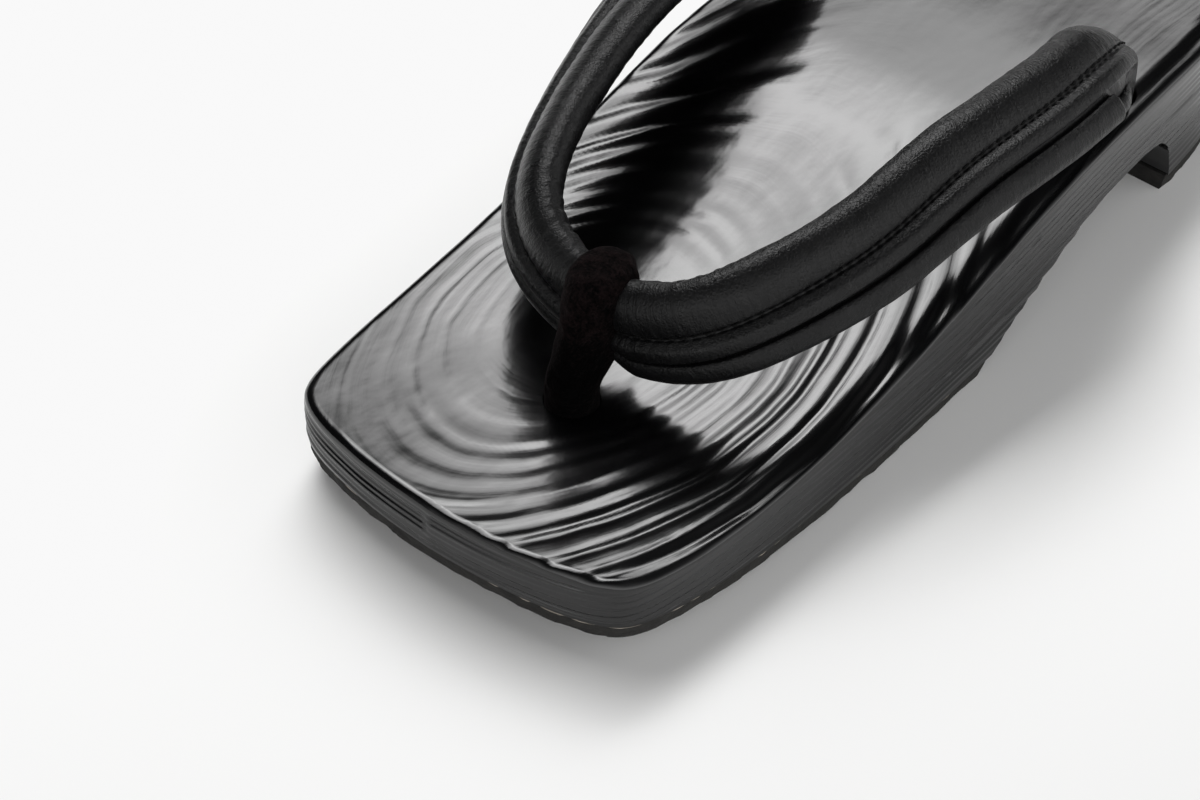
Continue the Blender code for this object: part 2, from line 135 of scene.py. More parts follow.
# The arch under the instep. Columns: share of its length, share of its height.
ARCH_PROFILE = [
    (0.0, 0.05), (0.037, 0.145), (0.074, 0.23), (0.135, 0.38), (0.202, 0.515), (0.271, 0.63),
    (0.349, 0.75), (0.435, 0.86), (0.522, 0.945), (0.608, 0.99), (0.718, 1.0), (0.817, 1.0),
    (0.873, 0.975), (0.923, 0.895), (0.957, 0.765), (0.978, 0.60), (0.990, 0.42), (0.9975, 0.26),
    (1.0, 0.05),
]
# The right strap's middle line. Columns: x, y, z.
STRAP_LINE = [
    (0.0, -70.9, 37.9), (21.2, -67.3, 43.1), (33.4, -52.7, 49.1), (41.0, -29.8, 53.6), (44.9, -4.5, 58.9),
    (47.7, 24.1, 59.0), (45.6, 50.2, 54.3), (41.0, 60.6, 33.0),
]
# How far the strap is turned about its own line at even shares of its length, in degrees.
STRAP_TURN = [0.0, -7.2, -22.2, -38.5, -40.9]
# The strap's section. Columns: shares of half its thickness and of half its height, clockwise from the top.
STRAP_SECTION = [
    (0.0, 1.0), (0.40, 0.945), (0.74, 0.80), (0.95, 0.60), (1.0, 0.38), (0.93, 0.18), (0.77, 0.035),
    (0.88, -0.035), (1.07, -0.16), (1.05, -0.31), (0.91, -0.43), (0.69, -0.465), (0.77, -0.535),
    (0.82, -0.64), (0.76, -0.78), (0.57, -0.92), (0.27, -1.0), (-0.05, -1.01), (-0.37, -0.955),
    (-0.62, -0.82), (-0.75, -0.62), (-0.81, -0.38), (-0.87, -0.13), (-0.95, 0.145), (-1.0, 0.40),
    (-0.95, 0.62), (-0.75, 0.81), (-0.41, 0.945),
]
# The thong. Columns: height, y at the front, y at the back, half width.
THONG_RINGS = [
    (9.3, -87.1, -76.3, 5.4), (10.0, -87.7, -75.7, 6.0), (21.3, -87.7, -75.7, 6.0),
    (24.3, -87.75, -75.35, 5.9), (26.5, -87.85, -73.5, 5.8), (28.3, -88.0, -70.5, 5.8),
    (31.0, -87.1, -66.2, 5.8), (34.5, -85.9, -62.9, 5.9), (38.1, -84.6, -62.2, 6.1),
    (42.1, -83.2, -62.1, 6.4), (45.6, -81.9, -62.2, 6.7), (48.7, -80.8, -62.6, 6.8),
    (51.0, -79.5, -63.7, 6.3), (52.4, -77.9, -65.3, 5.0), (53.1, -75.8, -67.6, 2.8),
]

# Growth rings on the top face. Columns: y, and where their middle is across or how deep the pith lies.
RING_MIDDLE = [
    (-128, -13.5), (-60, -13.0), (-45, -11.5), (-31, -9.8), (-8, -7.5), (10, -6.0), (60, -4.0), (128, -2.0),
]
RING_DEPTH = [
    (-128, 64.5), (-120, 62.0), (-114, 60.3), (-106, 57.9), (-97, 55.6), (-88, 53.4), (-80, 51.5),
    (-70, 50.5), (-60, 50.0), (-54, 50.6), (-45, 53.0), (-36, 55.7), (-28, 58.4), (-22, 60.5), (-8, 65.6),
    (7, 71.0), (25, 74.5), (45, 77.5), (60, 80.0), (90, 81.5), (128, 80.0),
]
# Height of the carved rings. Columns: distance from the pith, height; each steep rise is the wall of a ring.
RING_SECTION = [
    (49.0, 0.00), (55.6, 0.03), (56.8, -0.09), (57.9, 0.11), (58.8, -0.09), (59.8, 0.11), (61.0, -0.08),
    (62.1, 0.09), (63.4, -0.02), (64.5, 0.11), (66.4, -0.11), (67.8, 0.16), (69.4, -0.12), (70.7, 0.16),
    (71.9, -0.16), (72.8, 0.06), (74.8, 0.26), (76.0, -0.14), (77.2, 0.12), (79.2, 0.27), (81.0, -0.14),
    (82.4, 0.14), (83.5, 0.20), (84.3, -0.02), (86.3, 0.24), (87.4, 0.02), (89.4, 0.22), (91.0, 0.00),
    (92.8, 0.18), (94.4, 0.00), (96.2, 0.16), (98.0, 0.00), (100.5, 0.12), (104.0, 0.0),
]
# Narrow cracks between the rings. Columns: distance from the pith, depth, half width.
CRACKS = [
    (53.9, 0.035, 0.28), (56.3, 0.045, 0.26), (57.6, 0.030, 0.22), (58.6, 0.055, 0.26), (61.2, 0.020, 0.30),
    (64.2, 0.045, 0.26), (65.3, 0.035, 0.25), (68.2, 0.05, 0.30), (71.4, 0.06, 0.25), (74.9, 0.07, 0.28),
    (78.9, 0.07, 0.28), (81.6, 0.05, 0.30), (83.6, 0.06, 0.28), (85.1, 0.05, 0.28), (86.2, 0.05, 0.25),
    (87.4, 0.06, 0.28), (88.4, 0.04, 0.22), (89.2, 0.05, 0.28), (90.6, 0.07, 0.28), (92.5, 0.06, 0.28),
    (94.5, 0.07, 0.28), (96.2, 0.06, 0.28), (97.9, 0.06, 0.30),
]


def monotone(table, at):
    """Smooth value from a two-column table, without overshoot."""
    x = np.array([row[0] for row in table], float)
    y = np.array([row[1] for row in table], float)
    step = np.diff(x)
    slope = np.diff(y) / step
    tangent = np.r_[slope[0], np.zeros(len(x) - 2), slope[-1]]
    for i in range(1, len(x) - 1):
        if slope[i - 1] * slope[i] > 0:
            w0 = 2 * step[i] + step[i - 1]
            w1 = step[i] + 2 * step[i - 1]
            tangent[i] = (w0 + w1) / (w0 / slope[i - 1] + w1 / slope[i])
    at = np.clip(np.asarray(at, float), x[0], x[-1])
    i = np.clip(np.searchsorted(x, at, side="right") - 1, 0, len(step) - 1)
    t = (at - x[i]) / step[i]
    blend = (2 * t**3 - 3 * t**2 + 1) * y[i] + (3 * t**2 - 2 * t**3) * y[i + 1]
    return blend + step[i] * ((t**3 - 2 * t**2 + t) * tangent[i] + (t**3 - t**2) * tangent[i + 1])


def noise(seed, *coords):
    """Smooth noise from -1 to 1 at up to three coordinates, one cell per unit."""
    table = np.random.RandomState(seed).uniform(-1, 1, (32, 32, 32))
    coords = np.broadcast_arrays(*[np.asarray(c, float) for c in coords])
    while len(coords) < 3:
        coords = [*coords, np.zeros_like(coords[0])]
    low = [np.floor(c).astype(int) for c in coords]
    share = [c - f for c, f in zip(coords, low)]
    share = [t * t * t * (t * (t * 6 - 15) + 10) for t in share]
    total = 0.0
    for a in (0, 1):
        for b in (0, 1):
            for c in (0, 1):
                weight = 1.0
                for pick, t in zip((a, b, c), share):
                    weight = weight * (t if pick else 1 - t)
                total = total + weight * table[(low[0] + a) % 32, (low[1] + b) % 32, (low[2] + c) % 32]
    return total


def ease(value):
    """0 to 1 without a kink."""
    value = np.clip(value, 0.0, 1.0)
    return value * value * (3 - 2 * value)


def link(name, verts, faces, material, smooth_deg=None):
    """A mesh object from points in millimetres."""
    mesh = bpy.data.meshes.new(name)
    verts = np.asarray(verts, float) * MM
    mesh.from_pydata(verts.tolist(), [], faces)
    mesh.validate()
    item = bpy.data.objects.new(name, mesh)
    if material is not None:
        mesh.materials.append(material)
    bpy.context.scene.collection.objects.link(item)
    mesh.shade_smooth()
    if smooth_deg is not None:
        mesh.set_sharp_from_angle(angle=math.radians(smooth_deg))
    return item


def shade(item, sharp_from):
    """Smooth shading, with edges kept where they turn by more than the angle in degrees."""
    item.data.shade_smooth()
    item.data.set_sharp_from_angle(angle=math.radians(sharp_from))


def loop_points(mesh):
    """The point that each corner of a face stands on."""
    loops = np.zeros(len(mesh.loops), int)
    mesh.loops.foreach_get("vertex_index", loops)
    return loops


def set_uv(mesh, u, v):
    """Gives the mesh its texture coordinates, one pair for each corner of a face."""
    layer = mesh.uv_layers.new(name="UVMap")
    layer.data.foreach_set("uv", np.stack([u, v], 1).astype(np.float32).ravel())


def unit(vectors):
    """The vectors at length 1."""
    return vectors / np.linalg.norm(vectors, axis=1)[:, None]


def cut(item, cutter):
    """Takes the cutter's shape out of the object."""
    modifier = item.modifiers.new("cut", "BOOLEAN")
    modifier.operation = "DIFFERENCE"
    modifier.solver = "MANIFOLD"
    modifier.object = cutter
    with bpy.context.temp_override(object=item, active_object=item):
        bpy.ops.object.modifier_apply(modifier="cut")
    bpy.data.objects.remove(cutter, do_unlink=True)


def band_faces(rings, around, reverse=False):
    """Four-sided faces between closed rings of points that follow each other."""
    faces = []
    for low in range(0, (rings - 1) * around, around):
        high = low + around
        for i in range(around):
            j = (i + 1) % around
            if reverse:
                faces.append((low + i, high + i, high + j, low + j))
            else:
                faces.append((low + i, low + j, high + j, high + i))
    return faces


def tube_faces(rings, around):
    """Faces of a tube whose two ends are closed."""
    faces = band_faces(rings, around, reverse=True)
    faces.append(tuple(range(around)))
    faces.append(tuple(range(rings * around - 1, (rings - 1) * around - 1, -1)))
    return faces


def bar_faces(around):
    """Faces of an upright bar between its lower and its upper ring."""
    return [tuple(range(around))[::-1], tuple(range(around, 2 * around)), *band_faces(2, around)]


def prism(profile, reach):
    """A side view drawn out across the whole width."""
    verts = [(-reach, y, z) for y, z in profile] + [(reach, y, z) for y, z in profile]
    return verts, bar_faces(len(profile))


def bar(x, y, radius, low, high, sides=56):
    """An upright round bar."""
    turn = np.arange(sides) * 2 * math.pi / sides
    verts = [(x + radius * math.cos(t), y + radius * math.sin(t), z) for z in (low, high) for t in turn]
    return verts, bar_faces(sides)


def new_material(name):
    """An empty material, with its node tree and its main shader."""
    material = bpy.data.materials.new(name)
    material.use_nodes = True
    tree = material.node_tree
    return material, tree, tree.nodes["Principled BSDF"]


def set_values(shader, **values):
    """Sets the shader's sockets by name, with _ for each blank."""
    for name, value in values.items():
        shader.inputs[name.replace("_", " ")].default_value = value


def texture_noise(tree, vector, scale, detail=4.0, rough=0.5, stretch=(1, 1, 1)):
    """Noise from 0 to 1 at the coordinates, which the stretch scales first."""
    mapping = tree.nodes.new("ShaderNodeMapping")
    mapping.inputs["Scale"].default_value = stretch
    tree.links.new(vector, mapping.inputs["Vector"])
    node = tree.nodes.new("ShaderNodeTexNoise")
    node.inputs["Scale"].default_value = scale
    node.inputs["Detail"].default_value = detail
    node.inputs["Roughness"].default_value = rough
    tree.links.new(mapping.outputs[0], node.inputs["Vector"])
    return node.outputs["Fac"]


def ramp(tree, value, stops):
    """A colour from a value, by stops of place and colour."""
    node = tree.nodes.new("ShaderNodeValToRGB")
    elements = node.color_ramp.elements
    while len(elements) < len(stops):
        elements.new(0.5)
    for element, (place, colour) in zip(elements, stops):
        element.position = place
        element.color = (*colour, 1.0)
    tree.links.new(value, node.inputs[0])
    return node.outputs[0]


def map_range(tree, value, low, high, to_low, to_high):
    """The value moved from one range to another."""
    node = tree.nodes.new("ShaderNodeMapRange")
    node.inputs["From Min"].default_value = low
    node.inputs["From Max"].default_value = high
    node.inputs["To Min"].default_value = to_low
    node.inputs["To Max"].default_value = to_high
    tree.links.new(value, node.inputs["Value"])
    return node.outputs["Result"]


def math_node(tree, operation, a, b):
    """What the operation makes of two sockets or numbers."""
    node = tree.nodes.new("ShaderNodeMath")
    node.operation = operation
    for socket, value in zip(node.inputs, (a, b)):
        if isinstance(value, (int, float)):
            socket.default_value = value
        else:
            tree.links.new(value, socket)
    return node.outputs[0]


def bump(tree, shader, height, distance, strength=1.0, after=None):
    """Bump from a height, added to an earlier one where that is given, and joined to the shader."""
    node = tree.nodes.new("ShaderNodeBump")
    node.inputs["Distance"].default_value = distance
    node.inputs["Strength"].default_value = strength
    tree.links.new(height, node.inputs["Height"])
    if after is not None:
        tree.links.new(after, node.inputs["Normal"])
    tree.links.new(node.outputs[0], shader.inputs["Normal"])
    return node.outputs[0]


def object_coords(tree):
    """Places in the object's own space, in metres."""
    return tree.nodes.new("ShaderNodeTexCoord").outputs["Object"]


def uv_coords(tree):
    """The coordinates that the mesh carries, in metres."""
    return tree.nodes.new("ShaderNodeTexCoord").outputs["UV"]


def lacquer():
    """Black lacquer: a glossy coat with faint marks along the growth rings."""
    material, tree, shader = new_material("lacquer_black")
    place = object_coords(tree)
    rings = uv_coords(tree)
    set_values(shader, Metallic=0.0, Coat_Weight=1.0, Coat_Roughness=0.16, Coat_IOR=1.5)
    shader.inputs["Specular IOR Level"].default_value = 0.0
    cloud = texture_noise(tree, place, 60.0, 3.0, 0.5)
    tree.links.new(ramp(tree, cloud, [(0.3, (0.0008, 0.0008, 0.0009)), (0.7, (0.0022, 0.0022, 0.0025))]),
                   shader.inputs["Base Color"])
    smear = texture_noise(tree, place, 130.0, 4.0, 0.6, (1.0, 0.25, 1.0))
    tree.links.new(map_range(tree, smear, 0.3, 0.7, 0.10, 0.20), shader.inputs["Roughness"])
    streaks = texture_noise(tree, rings, 1700.0, 3.0, 0.6, (1.0, 0.022, 1.0))
    first = bump(tree, shader, streaks, 0.000028)
    orange = texture_noise(tree, place, 260.0, 2.0, 0.5, (1.0, 0.6, 1.0))
    second = bump(tree, shader, orange, 0.00004, 1.0, first)
    tree.links.new(second, shader.inputs["Coat Normal"])
    return material


def leather():
    """Black leather with fine cells and creases across the strap."""
    material, tree, shader = new_material("strap_leather_black")
    place = uv_coords(tree)
    set_values(shader, Metallic=0.0)
    shader.inputs["Specular IOR Level"].default_value = 0.18
    tone = texture_noise(tree, place, 90.0, 3.0, 0.5)
    tree.links.new(ramp(tree, tone, [(0.3, (0.0028, 0.0028, 0.0030)), (0.7, (0.0052, 0.0052, 0.0054))]),
                   shader.inputs["Base Color"])
    pores = tree.nodes.new("ShaderNodeTexVoronoi")
    pores.feature = "DISTANCE_TO_EDGE"
    pores.inputs["Scale"].default_value = 1500.0
    tree.links.new(place, pores.inputs["Vector"])
    cells = map_range(tree, pores.outputs["Distance"], 0.0, 0.25, 0.0, 1.0)
    creases = texture_noise(tree, place, 1350.0, 4.0, 0.60, (1.0, 0.30, 1.0))
    swell = texture_noise(tree, place, 330.0, 2.0, 0.5, (1.0, 0.45, 1.0))
    tree.links.new(map_range(tree, swell, 0.3, 0.7, 0.25, 0.37), shader.inputs["Roughness"])
    first = bump(tree, shader, cells, 0.00004, 1.0)
    second = bump(tree, shader, creases, 0.00028, 1.0, first)
    bump(tree, shader, swell, 0.00024, 1.0, second)
    return material


def velvet():
    """Black velvet, paler towards the top, with painted shade that darkens the lower stem."""
    material, tree, shader = new_material("thong_velvet_black")
    place = object_coords(tree)
    set_values(shader, Metallic=0.0, Sheen_Weight=0.02, Sheen_Roughness=0.4)
    shader.inputs["Specular IOR Level"].default_value = 0.03
    shader.inputs["Sheen Tint"].default_value = (0.75, 0.60, 0.62, 1.0)
    pile = texture_noise(tree, place, 1700.0, 3.0, 0.65)
    nap = texture_noise(tree, place, 420.0, 4.0, 0.6)
    both = math_node(tree, "MULTIPLY", math_node(tree, "ADD", pile, nap), 0.5)
    height = tree.nodes.new("ShaderNodeSeparateXYZ")
    tree.links.new(place, height.inputs[0])
    # Painted shade: the colour is scaled to half low on the stem and rises to full at 42 mm height.
    stem_painted_shade = map_range(tree, height.outputs["Z"], 0.026, 0.042, 0.50, 1.0)
    tree.links.new(ramp(tree, math_node(tree, "MULTIPLY", both, stem_painted_shade),
                        [(0.42, (0.0002, 0.0002, 0.0002)), (0.60, (0.0062, 0.0038, 0.0039))]),
                   shader.inputs["Base Color"])
    set_values(shader, Roughness=0.95)
    first = bump(tree, shader, pile, 0.00035)
    bump(tree, shader, nap, 0.0009, 1.0, first)
    return material


def rubber():
    """Matte black rubber with a coarse grain."""
    material, tree, shader = new_material("sole_rubber_black")
    place = object_coords(tree)
    shader.inputs["Specular IOR Level"].default_value = 0.3
    grain = texture_noise(tree, place, 900.0, 4.0, 0.6)
    coarse = texture_noise(tree, place, 240.0, 4.0, 0.65, (1.0, 1.0, 2.5))
    tree.links.new(ramp(tree, coarse, [(0.3, (0.008, 0.0075, 0.007)), (0.7, (0.020, 0.019, 0.0175))]),
                   shader.inputs["Base Color"])
    set_values(shader, Roughness=0.85)
    first = bump(tree, shader, grain, 0.0003)
    bump(tree, shader, coarse, 0.0006, 1.0, first)
    return material


def plain(name, colour, rough, grain=900.0, depth=0.0001):
    """A matte material with slight changes in tone."""
    material, tree, shader = new_material(name)
    place = object_coords(tree)
    tone = texture_noise(tree, place, grain, 3.0, 0.6)
    dark = tuple(c * 0.7 for c in colour)
    tree.links.new(ramp(tree, tone, [(0.3, dark), (0.7, colour)]), shader.inputs["Base Color"])
    set_values(shader, Roughness=rough)
    bump(tree, shader, tone, depth)
    return material


def outline_points(count):
    """Half outline as (y, half width) at even steps along its edge."""
    table = np.array(OUTLINE) * [LENGTH, WIDTH / 2]
    run = np.r_[0.0, np.cumsum(np.linalg.norm(np.diff(table, axis=0), axis=1))]
    at = np.linspace(0, run[-1], count)
    along = monotone(np.stack([run, table[:, 0]], 1), at)
    rows = np.stack([run, table[:, 1]], 1)
    peak = int(np.argmax(table[:, 1]))
    front = at <= run[peak]
    width = np.where(front, monotone(rows[: peak + 1], at), monotone(rows[peak:], at))
    return along + TOE_Y, width


def inset(y, width, distance):
    """The half outline moved inwards by the distance."""
    full_x = np.r_[-width[1:][::-1], width]
    full_y = np.r_[y[1:][::-1], y]
    pad_x = np.r_[full_x[0] - (full_x[1] - full_x[0]), full_x, full_x[-1] - (full_x[-2] - full_x[-1])]
    pad_y = np.r_[full_y[0], full_y, full_y[-1]]
    edge_x = pad_x[2:] - pad_x[:-2]
    edge_y = pad_y[2:] - pad_y[:-2]
    size = np.hypot(edge_x, edge_y)
    moved_x = full_x - edge_y / size * distance
    moved_y = full_y + edge_x / size * distance
    half = slice(len(width) - 1, None)
    out_x = np.maximum(moved_x[half], 0.0)
    out_x[0] = 0.0
    out_x[-1] = 0.0
    return moved_y[half], out_x


def top_height(y):
    """Height of the top face before it is carved."""
    return monotone(TOP_PROFILE, (y - TOE_Y) / LENGTH) * BLOCK_HEIGHT


def sole_height(y):
    """How far the toe spring lifts the sole off the floor."""
    lift = np.clip((TOE_Y + FLAT_FROM - y) / FLAT_FROM, 0, None)
    return TOE_SPRING * lift**2


def pith_distance(x, y):
    """How far the wood at each place of the top face grew from the tree's middle."""
    middle = monotone(RING_MIDDLE, y)
    depth = monotone(RING_DEPTH, y)
    wander = 0.35 * noise(3, x / 19, y / 30) + 0.14 * noise(4, x / 7, y / 12)
    wander = wander + 0.05 * noise(14, x / 2.5, y / 5)
    return np.sqrt((x - middle) ** 2 + depth**2) + wander


def relief(x, y):
    """Height of the raised rings on the top face, in millimetres."""
    ring = pith_distance(x, y)
    # Areas of the face, each 0 outside and 1 inside it, from places in millimetres.
    left_front = ease((-x - 22) / 14) * ease((-42 - y) / 12)
    rear = ease((y - 12) / 30)
    middle_area = ease((19 + 7 * rear - np.abs(x + 5 - 6 * rear)) / 9)
    plain_area = middle_area * ease((y + 17) / 18)
    under_straps = middle_area * ease((y + 52) / 8) * (1 - ease((y + 17) / 18))
    calm = (1 - ease((ring - 67.0) / 3)) * ease((y + 93) / 16) * ease((x + 12) / 8)
    # The rings' strength over the face, then the rings, the cracks between them and the wood's fine grain.
    strength = (1 - 0.80 * left_front) * (1 - 0.93 * plain_area) * (1 + 0.15 * under_straps)
    strength = strength * (1 - 0.76 * rear) * (1 - 0.10 * calm) * (0.84 + 0.32 * noise(5, x / 16, y / 26))
    strength = strength * (1 + 0.3 * ease((-112 - y) / 9) * ease((x + 12) / 8) * ease((42 - x) / 8))
    height = strength * monotone(RING_SECTION, ring)
    cracks = np.zeros_like(ring)
    for centre, depth, half in CRACKS:
        cracks = cracks + depth * np.exp(-((ring - centre) / half) ** 2)
    height = height - cracks * (1 - 0.9 * plain_area) * np.clip(0.75 + 0.7 * noise(15, x / 9, y / 14), 0, 2)
    grain = 0.020 * noise(6, ring / 1.15, y / 60) + 0.006 * noise(9, ring / 0.42, y / 30)
    return height + strength * grain + 0.09 * noise(7, x / 11, y / 24) + 0.010 * noise(8, x / 2.0, y / 6)


def worn_edge(inside, y):
    """How far the top face falls away towards its right edge, from the distance inside it."""
    ends = ease((y + 122) / 12) * ease((122 - y) / 12)
    return WORN_DEPTH * ease(1 - inside / WORN_WIDTH) ** 1.5 * ends


def wall_relief(along, z):
    """Depth of the lengthwise grooves on the side faces."""
    ring = (z + 2.0 * noise(11, along / 70, z / 30) + 0.35 * noise(12, along / 19, z / 6)) / GROOVE_PITCH
    depth = GROOVE_DEPTH * (0.6 + 0.5 * noise(13, ring * 0.9, along / 80))
    return 0.03 * noise(16, z / 0.9, along / 45) - depth * np.cos(2 * math.pi * ring)


def deck_rim(y, width):
    """Once round the half outline: the order of its points, the side of each and its outward direction."""
    count = len(y)
    order = np.r_[np.arange(count), np.arange(count - 2, 0, -1)]
    side = np.r_[np.ones(count), -np.ones(count - 2)]
    inner_y, inner_width = inset(y, width, 1.0)
    out = unit(np.stack([(width[order] - inner_width[order]) * side, (y - inner_y)[order]], 1))
    return order, side, out


def deck_sides(y, width):
    """Rings of points up the grooved side faces and over the rounded rim."""
    order, side, out = deck_rim(y, width)
    edge = np.stack([width[order] * side, y[order]], 1)
    run = np.cumsum(np.r_[0, np.hypot(*np.diff(edge, axis=0).T)])
    base = sole_height(edge[:, 1]) + RUBBER + GAP
    edge_z = top_height(edge[:, 1]) - EDGE_RADIUS
    rings = []
    for r in range(WALL_ROWS + 1):
        t = r / WALL_ROWS
        z = base + (edge_z - base) * t
        push = wall_relief(run, z) * ease(t * 6) * ease((1 - t) * 5 + 0.15)
        rings.append(np.column_stack([edge + out * push[:, None], z]))
    for r in range(1, RIM_ROWS + 1):
        angle = math.pi / 2 * r / RIM_ROWS
        rim_y, rim_width = inset(y, width, EDGE_RADIUS * (1 - math.cos(angle)))
        rim_x, rim_y = rim_width[order] * side, rim_y[order]
        lift = relief(rim_x, rim_y) - worn_edge(rim_width[order] - rim_x, rim_y)
        z = top_height(rim_y) - EDGE_RADIUS * (1 - math.sin(angle)) + lift * ease(r / RIM_ROWS * 1.15)
        rings.append(np.column_stack([rim_x, rim_y, z]))
    return rings


def deck_top(y, width):
    """Grid of points on the carved top face, inside its rim."""
    top_y, top_width = inset(y, width, EDGE_RADIUS)
    share = np.linspace(1, -1, DECK_COLUMNS + 1)[1:-1]
    grid_x = top_width[1:-1, None] * share[None, :]
    grid_y = np.broadcast_to(top_y[1:-1, None], grid_x.shape)
    grid_z = top_height(grid_y) + relief(grid_x, grid_y) - worn_edge(top_width[1:-1, None] - grid_x, grid_y)
    return np.stack([grid_x.ravel(), grid_y.ravel(), grid_z.ravel()], 1)


def deck_faces(rings, around):
    """Faces of the block: its sides and rim, the grid on top and the flat underside."""
    faces = band_faces(rings, around)
    last = (rings - 1) * around

    def point(row, column):
        """The grid's point at a row and column, where the outer columns are the rim's own points."""
        if column == 0:
            return last + row
        if column == DECK_COLUMNS:
            return last + (around - row if row else 0)
        return last + around + (row - 1) * (DECK_COLUMNS - 1) + column - 1

    for row in range(1, DECK_ROWS - 2):
        for column in range(DECK_COLUMNS):
            faces.append((point(row, column), point(row + 1, column),
                          point(row + 1, column + 1), point(row, column + 1)))
    for column in range(DECK_COLUMNS):
        faces.append((last, point(1, column), point(1, column + 1)))
        faces.append((last + DECK_ROWS - 1, point(DECK_ROWS - 2, column + 1), point(DECK_ROWS - 2, column)))
    faces.append((0, around - 1, 1))
    for i in range(1, DECK_ROWS - 2):
        faces.append((i, around - i, around - i - 1, i + 1))
    faces.append((DECK_ROWS - 2, DECK_ROWS, DECK_ROWS - 1))
    return faces


def arch_outline():
    """The arch seen from the side, closed below the floor."""
    table = np.array(ARCH_PROFILE) * [ARCH_LENGTH, ARCH_HEIGHT] + [TOE_Y + ARCH_START, 0.0]
    run = np.r_[0.0, np.cumsum(np.linalg.norm(np.diff(table, axis=0), axis=1))]
    run /= run[-1]
    at = np.linspace(0, 1, 150)
    y = monotone(np.stack([run, table[:, 0]], 1), at)
    z = np.maximum(np.interp(at, run, table[:, 1]), 0.2)
    return [(y[0], CUTTER_BELOW), *zip(y, z), (y[-1], CUTTER_BELOW)][::-1]


def deck_piece(material):
    """The carved block: raised rings on top, a rounded rim, grooved sides, arch and holes."""
    y, width = outline_points(DECK_ROWS)
    rings = deck_sides(y, width)
    around = len(rings[0])
    verts = np.concatenate([*rings, deck_top(y, width)])
    deck = link("deck_carved", verts, deck_faces(len(rings), around), material)
    across_rings = pith_distance(verts[:, 0], verts[:, 1])
    # The grain on the sides lies level, so there the height takes the place of the distance from the pith.
    wall = slice(0, WALL_ROWS * around)
    across_rings[wall] = 40 + verts[wall, 2]
    loops = loop_points(deck.data)
    set_uv(deck.data, across_rings[loops] * MM, verts[loops, 1] * MM)
    cut(deck, link("arch_cutter", *prism(arch_outline(), CUTTER_REACH), None))
    hole = bar(0.0, THONG_Y, THONG_HOLE_RADIUS, THONG_HOLE_BOTTOM, CUTTER_TOP)
    cut(deck, link("thong_hole_cutter", *hole, None))
    for x in (STRAP_HOLE[0], -STRAP_HOLE[0]):
        hole = bar(x, STRAP_HOLE[1], STRAP_HOLE_RADIUS, STRAP_HOLE_BOTTOM, CUTTER_TOP)
        cut(deck, link("strap_hole_cutter", *hole, None))
    shade(deck, 48)
    return deck


def sheet_rows(start, end, start_slant, end_slant):
    """Edge stations of a rubber sheet: y below and above, half width and height of the underside."""
    y, width = outline_points(300)
    y, width = inset(y, width, SHEET_INSET)
    keep = (width > 1.2) & (y > start + 0.5) & (y < end - 0.5)
    y, width = y[keep], width[keep]
    if start > TOE_Y:
        y, width = np.r_[start, y], np.r_[np.interp(start, y, width), width]
    if end < -TOE_Y:
        y, width = np.r_[y, end], np.r_[width, np.interp(end, y, width)]
    high = np.maximum(y, y[0] + start_slant)
    high[-1] += end_slant
    return y, high, width, sole_height(y)


def sheet_rim(count):
    """The order of the stations once round the sheet, and the side of each."""
    return np.r_[np.arange(count), np.arange(count - 1, -1, -1)], np.r_[np.ones(count), -np.ones(count)]


def push_rim(x, y, amount, ends_from):
    """The rim moved outwards: sideways, and lengthwise past the places where its two ends begin."""
    sideways = np.sign(x) * np.minimum(1.0, np.abs(x) / 8)
    lengthwise = np.where(y < -ends_from, -1.0, 0.0) + np.where(y > ends_from, 1.0, 0.0)
    return x + sideways * amount, y + lengthwise * amount


def sheet_faces(levels, count):
    """Faces of a sheet: its edge, its underside and its top."""
    around = 2 * count
    faces = band_faces(levels, around)
    top = (levels - 1) * around
    for i in range(count - 1):
        faces.append((i, around - 1 - i, around - 2 - i, i + 1))
        faces.append((top + i, top + i + 1, top + around - 2 - i, top + around - 1 - i))
    return faces


def sole_piece(name, start, end, start_slant, end_slant, material, seed):
    """A rubber sheet with hand-cut, slightly ragged edges."""
    y, high, width, low = sheet_rows(start, end, start_slant, end_slant)
    index, side = sheet_rim(len(y))
    x = width[index] * side
    rings = []
    for t in SHEET_LEVELS:
        edge_y = y[index] * (1 - t) + high[index] * t
        run = np.cumsum(np.r_[0, np.hypot(np.diff(x), np.diff(edge_y))])
        ragged = 0.22 * noise(seed, run / 5.0, t * 1.5) + 0.16 * noise(seed + 1, run / 1.7, t * 3)
        ragged = ragged - 0.35 * (1 - ease(t * 9)) - 0.12 * (1 - ease((1 - t) * 12))
        rings.append(np.column_stack([*push_rim(x, edge_y, ragged, SHEET_ENDS), low[index] + RUBBER * t]))
    return link(name, np.concatenate(rings), sheet_faces(len(rings), len(y)), material, 40)


def glue_piece(name, start, end, start_slant, end_slant, material, seed):
    """The thin pale line of glue between the rubber and the wood, broken along the edge."""
    y, high, width, low = sheet_rows(start, end, start_slant, end_slant)
    index, side = sheet_rim(len(y))
    x, edge_y = width[index] * side, high[index]
    run = np.cumsum(np.r_[0, np.hypot(np.diff(x), np.diff(edge_y))])
    proud = 0.30 * noise(seed, run / 9.0) + 0.25 * noise(seed + 1, run / 2.5) + 0.05
    rings = []
    for lift, extra in ((0.04, -0.05), (0.15, 0.0), (0.26, -0.05)):
        rim = push_rim(x, edge_y, proud + extra, GLUE_ENDS)
        rings.append(np.column_stack([*rim, low[index] + RUBBER + lift]))
    return link(name, np.concatenate(rings), sheet_faces(len(rings), len(y)), material, 40)


